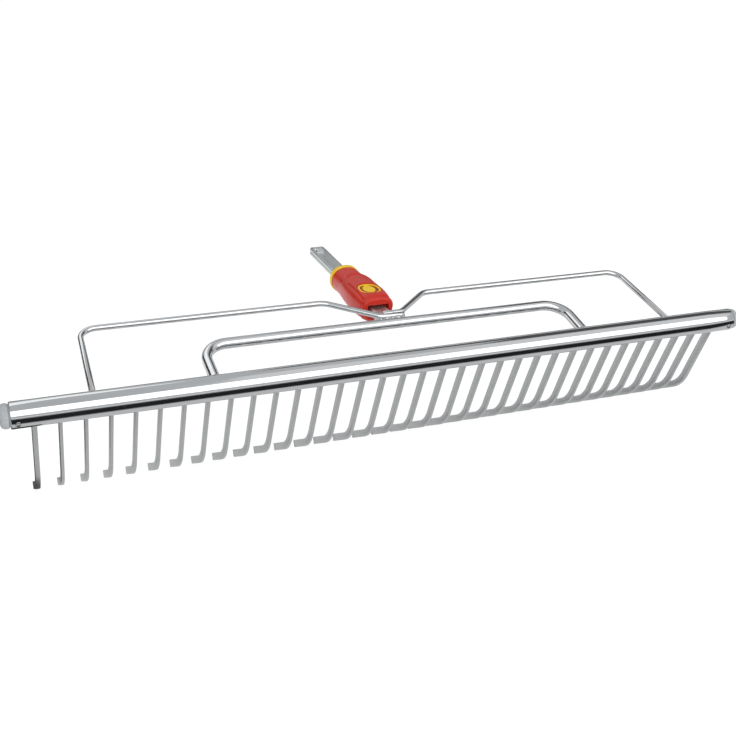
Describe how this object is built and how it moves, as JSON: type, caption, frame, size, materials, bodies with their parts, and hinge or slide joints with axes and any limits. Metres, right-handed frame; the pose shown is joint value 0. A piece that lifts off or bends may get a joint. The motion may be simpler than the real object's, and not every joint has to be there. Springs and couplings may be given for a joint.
{
  "type": "leaf rake",
  "caption": "Leaf rake head: a round steel crossbar with curved flat tines, two wire bows and a channel tang with a push-button latch for a handle.",
  "frame": {"origin": "middle of the collar ring's rear face, where the end of the handle rests", "axes": "+Y runs along the handle, away from the rake; +Z is the button side; X runs along the crossbar, +X to the right seen from the front with the button up"},
  "size_m": [0.614, 0.2395, 0.1169],
  "materials": {
    "bar_steel": "bright zinc-plated tube, polished",
    "bow_steel": "bright zinc-plated rod",
    "wire_steel": "bright zinc-plated wire",
    "tine_steel": "matt galvanised strip",
    "tang_steel": "galvanised sheet, satin",
    "weld_metal": "dull weld bead under zinc",
    "rivet_steel": "satin",
    "latch_steel": "satin",
    "spring_steel": "oiled spring steel",
    "cap_plastic": "grey moulded plastic",
    "sleeve_plastic": "red moulded plastic, semi-gloss",
    "button_plastic": "red moulded plastic, semi-gloss",
    "collar_plastic": "yellow moulded plastic, semi-gloss",
    "rod_plastic": "natural acetal"
  },
  "bodies": {
    "head": {"crossbar_tube": "bar_steel", "end_cap_left": "cap_plastic", "end_cap_right": "cap_plastic", "cap_rivet_left": "rivet_steel", "cap_rivet_right": "rivet_steel", "inner_bow": "bow_steel", "outer_bow_left": "wire_steel", "outer_bow_right": "wire_steel", "bow_welds": "weld_metal", "tang": "tang_steel", "grip_sleeve": "sleeve_plastic", "collar_ring": "collar_plastic", "button_spring": "spring_steel", "latch_pin": "rivet_steel", "latch_spring": "spring_steel", "sleeve_screw": "rivet_steel", "tine_01": "tine_steel", "tine_02": "tine_steel", "tine_03": "tine_steel", "tine_04": "tine_steel", "tine_05": "tine_steel", "tine_06": "tine_steel", "tine_07": "tine_steel", "tine_08": "tine_steel", "tine_09": "tine_steel", "tine_10": "tine_steel", "tine_11": "tine_steel", "tine_12": "tine_steel", "tine_13": "tine_steel", "tine_14": "tine_steel", "tine_15": "tine_steel", "tine_16": "tine_steel", "tine_17": "tine_steel", "tine_18": "tine_steel", "tine_19": "tine_steel", "tine_20": "tine_steel", "tine_21": "tine_steel", "tine_22": "tine_steel", "tine_23": "tine_steel", "tine_24": "tine_steel", "tine_25": "tine_steel", "tine_26": "tine_steel", "tine_27": "tine_steel", "tine_28": "tine_steel", "tine_29": "tine_steel", "tine_30": "tine_steel", "tine_31": "tine_steel", "tine_32": "tine_steel", "tine_33": "tine_steel", "tine_34": "tine_steel"},
    "button": {"release_button": "button_plastic", "button_rim": "collar_plastic", "button_badge": "collar_plastic"},
    "rod": {"push_rod": "rod_plastic"},
    "latch": {"latch_lever": "latch_steel"}
  },
  "joints": [
    {"name": "button_press", "type": "slide", "parent": "head", "child": "button", "axis": [0, 0, -1], "range_m": [0, 0.003], "stiffness_N_per_m": 600, "springref_m": -0.002, "deforming": ["button_spring"]},
    {"name": "rod_slide", "type": "slide", "parent": "head", "child": "rod", "axis": [0, 1, 0], "range_m": [0, 0.003]},
    {"name": "latch_swing", "type": "hinge", "parent": "head", "child": "latch", "pos_m": [0, -0.011, -0.0004], "axis": [-1, 0, 0], "range_deg": [0, 1.1]}
  ],
  "couplings": [
    {"joint": "rod_slide", "follows": "button_press", "ratio": 1},
    {"joint": "latch_swing", "follows": "button_press", "rad_per_m": 6.39}
  ]
}
